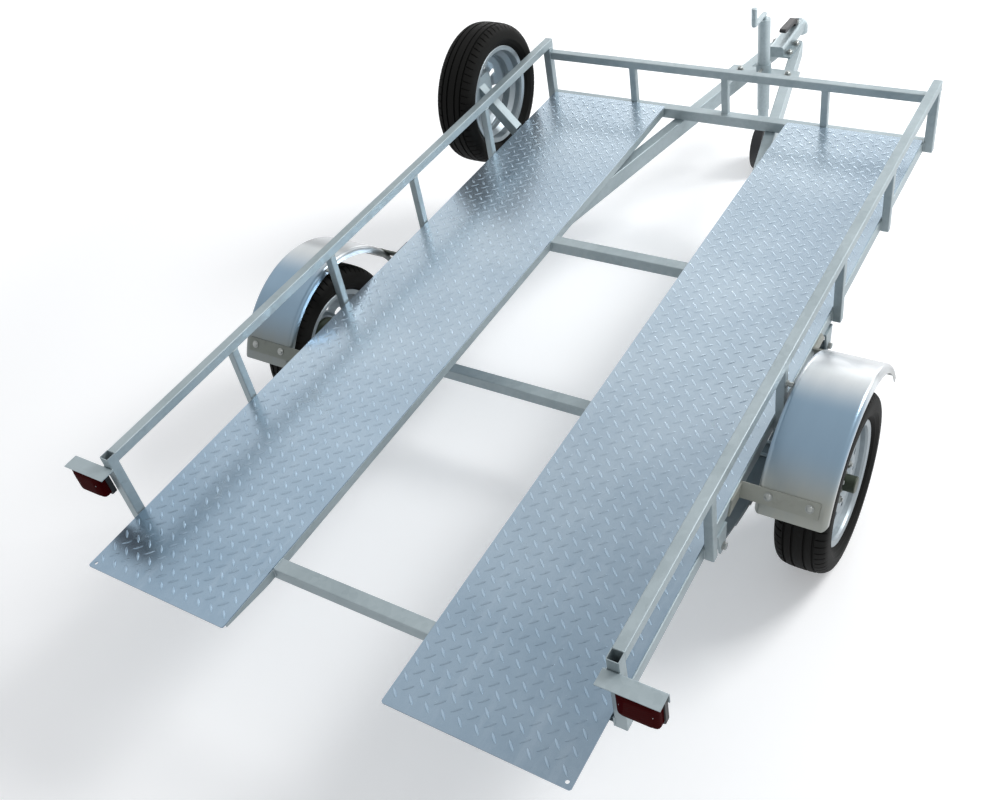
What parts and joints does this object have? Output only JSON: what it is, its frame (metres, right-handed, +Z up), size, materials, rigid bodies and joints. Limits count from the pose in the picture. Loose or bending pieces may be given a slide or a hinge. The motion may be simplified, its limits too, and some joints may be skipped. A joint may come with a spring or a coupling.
{
  "type": "two-track flatbed trailer",
  "caption": "Galvanised two-track flatbed trailer for a small cart, with low handrails, mudguards, tail lamps, a spare wheel on the front left and an A-frame drawbar.",
  "frame": {"origin": "on the ground, in the middle of the trailer's overall length and width", "axes": "+X to the right looking forward, +Y forward towards the coupling, +Z up"},
  "size_m": [1.908, 3.488, 0.8611],
  "materials": {
    "chequer_plate": "galvanised, raised tread pattern",
    "galvanised": "galvanised",
    "smooth_zinc": "smooth zinc-coated sheet",
    "wheel_steel": "zinc-coated pressed steel",
    "spring_steel": "dull zinc-coated spring steel",
    "hub_iron": "dark greenish cast metal",
    "coupling_zinc": "bright zinc",
    "grip_black": "black moulded plastic and rubber",
    "lamp_black": "black moulded plastic",
    "lamp_red": "glossy dark red",
    "tyre_rubber": "black rubber with a tread"
  },
  "bodies": {
    "chassis": {"axle_beam": "galvanised", "corner_post_left": "galvanised", "corner_post_right": "galvanised", "coupling_handle": "grip_black", "coupling_head": "coupling_zinc", "drawbar_arm_left": "galvanised", "drawbar_arm_right": "galvanised", "front_crossbar": "galvanised", "front_posts": "galvanised", "front_rail": "galvanised", "guard_bars_left": "galvanised", "guard_bars_right": "galvanised", "inner_beam_left": "galvanised", "inner_beam_right": "galvanised", "lamp_base_left": "lamp_black", "lamp_base_right": "lamp_black", "lamp_lens_left": "lamp_red", "lamp_lens_right": "lamp_red", "lamp_shelf_left": "galvanised", "lamp_shelf_right": "galvanised", "leaf_spring_left": "spring_steel", "leaf_spring_right": "spring_steel", "mid_crossbar": "galvanised", "mudguard_left": "smooth_zinc", "mudguard_right": "smooth_zinc", "outer_beam_left": "galvanised", "outer_beam_right": "galvanised", "rear_crossbar": "galvanised", "rear_post_left": "galvanised", "rear_post_right": "galvanised", "side_posts_left": "galvanised", "side_posts_right": "galvanised", "side_rail_left": "galvanised", "side_rail_right": "galvanised", "spare_arm": "galvanised", "spare_disc": "wheel_steel", "spare_rim": "wheel_steel", "spare_tyre": "tyre_rubber", "spring_clamp_left": "galvanised", "spring_clamp_right": "galvanised", "spring_hangers_left": "galvanised", "spring_hangers_right": "galvanised", "support_bracket": "galvanised", "support_crank": "coupling_zinc", "support_tube": "coupling_zinc", "support_wheel": "grip_black", "track_plate_left": "chequer_plate", "track_plate_right": "chequer_plate"},
    "wheel_left": {"hub_left": "hub_iron", "rim_left": "wheel_steel", "wheel_disc_left": "wheel_steel", "tyre_left": "tyre_rubber"},
    "wheel_right": {"hub_right": "hub_iron", "rim_right": "wheel_steel", "wheel_disc_right": "wheel_steel", "tyre_right": "tyre_rubber"}
  },
  "joints": [
    {"name": "wheel_left_spin", "type": "hinge", "parent": "chassis", "child": "wheel_left", "pos_m": [-0.871, -0.547, 0.26], "axis": [1, 0, 0], "continuous": true},
    {"name": "wheel_right_spin", "type": "hinge", "parent": "chassis", "child": "wheel_right", "pos_m": [0.871, -0.547, 0.26], "axis": [1, 0, 0], "continuous": true}
  ]
}
